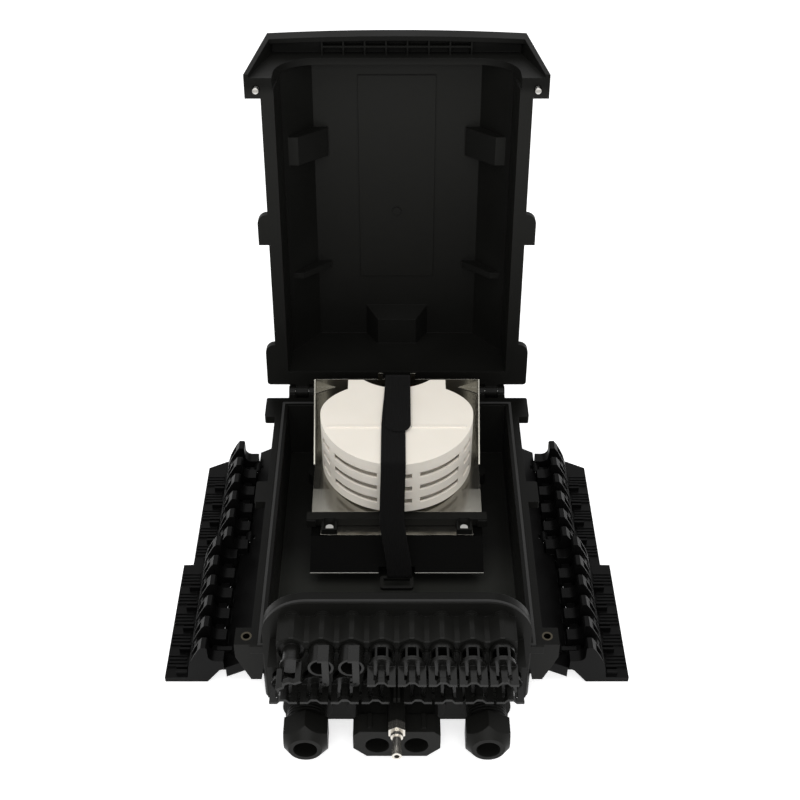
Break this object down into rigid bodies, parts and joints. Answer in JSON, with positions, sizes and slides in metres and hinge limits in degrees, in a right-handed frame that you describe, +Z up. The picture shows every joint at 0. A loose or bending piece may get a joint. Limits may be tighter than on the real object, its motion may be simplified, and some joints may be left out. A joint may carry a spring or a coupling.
{
  "type": "fibre termination box",
  "caption": "Outdoor fibre termination box lying open on its back, with an arched port wall, cable glands, an air valve, strapped splice trays and toothed cable wings.",
  "frame": {"origin": "centre of the tub's back face, midway between its far wall and its end wall", "axes": "+X across the box, +Y from the ports towards the lid's hinge, +Z up out of the tub"},
  "size_m": [0.3696, 0.495, 0.373],
  "materials": {
    "black_plastic": "satin moulded black",
    "seal_rubber": "matt",
    "bright_steel": "bright",
    "galvanised": "bright zinc-plated sheet",
    "black_sheet": "black coat, bright cut edge",
    "cream_plastic": "satin cream",
    "strap_fabric": "woven hook-and-loop tape",
    "valve_chrome": "plated"
  },
  "bodies": {
    "base": {"base_shell": "black_plastic", "tray_hinge_bar": "black_plastic", "strap_buckle": "black_plastic", "oval_gland_body": "black_plastic", "oval_gland_cap": "black_plastic", "wing_rail_left": "black_plastic", "wing_rail_right": "black_plastic", "gland_body_left": "black_plastic", "gland_body_right": "black_plastic", "port_plug_1": "black_plastic", "port_saddle_1": "black_plastic", "port_ring_2": "black_plastic", "port_ring_3": "black_plastic", "port_insert_4": "black_plastic", "port_insert_5": "black_plastic", "port_insert_6": "black_plastic", "port_insert_7": "black_plastic", "port_insert_8": "black_plastic", "lower_insert_1": "black_plastic", "lower_insert_2": "black_plastic", "lower_insert_3": "black_plastic", "lower_insert_4": "black_plastic", "lower_insert_5": "black_plastic", "lower_insert_6": "black_plastic", "lower_insert_7": "black_plastic", "lower_insert_8": "black_plastic", "base_gasket": "seal_rubber", "oval_gland_seal": "seal_rubber", "gland_seal_left": "seal_rubber", "gland_seal_right": "seal_rubber", "hinge_pin_left": "bright_steel", "hinge_pin_right": "bright_steel", "screw_insert_left": "bright_steel", "screw_insert_right": "bright_steel", "wing_pins_left": "bright_steel", "wing_pins_right": "bright_steel", "rail_screws": "bright_steel", "bracket_screws": "bright_steel", "tray_bracket": "galvanised", "front_panel": "black_sheet", "splice_tray_1": "cream_plastic", "splice_tray_2": "cream_plastic", "splice_tray_3": "cream_plastic", "splice_tray_4": "cream_plastic", "tray_cover": "cream_plastic", "strap": "strap_fabric", "valve_nut": "valve_chrome", "valve_stem": "valve_chrome"},
    "lid": {"lid_shell": "black_plastic"},
    "captive_screw_left": {"captive_screw_left": "bright_steel"},
    "captive_screw_right": {"captive_screw_right": "bright_steel"},
    "wing_left": {"wing_left": "black_plastic"},
    "wing_right": {"wing_right": "black_plastic"},
    "gland_nut_left": {"gland_nut_left": "black_plastic"},
    "gland_nut_right": {"gland_nut_right": "black_plastic"}
  },
  "joints": [
    {"name": "lid_hinge", "type": "hinge", "parent": "base", "child": "lid", "pos_m": [0, 0.1715, 0.062], "axis": [1, 0, 0], "range_deg": [0, 96.7]},
    {"name": "wing_fold_left", "type": "hinge", "parent": "base", "child": "wing_left", "pos_m": [-0.1279, 0.00875, 0.0206], "axis": [0, 1, 0], "range_deg": [0, 30]},
    {"name": "wing_fold_right", "type": "hinge", "parent": "base", "child": "wing_right", "pos_m": [0.1279, 0.00875, 0.0206], "axis": [0, -1, 0], "range_deg": [0, 30]},
    {"name": "captive_screw_turn_left", "type": "hinge", "parent": "lid", "child": "captive_screw_left", "pos_m": [-0.1152, 0.2058, 0.35399], "axis": [0, 0.9932, -0.1167], "continuous": true},
    {"name": "gland_nut_turn_left", "type": "hinge", "parent": "base", "child": "gland_nut_left", "pos_m": [-0.068, -0.1785, 0.02], "axis": [0, -1, 0], "continuous": true},
    {"name": "captive_screw_turn_right", "type": "hinge", "parent": "lid", "child": "captive_screw_right", "pos_m": [0.1152, 0.2058, 0.35399], "axis": [0, 0.9932, -0.1167], "continuous": true},
    {"name": "gland_nut_turn_right", "type": "hinge", "parent": "base", "child": "gland_nut_right", "pos_m": [0.068, -0.1785, 0.02], "axis": [0, -1, 0], "continuous": true}
  ]
}
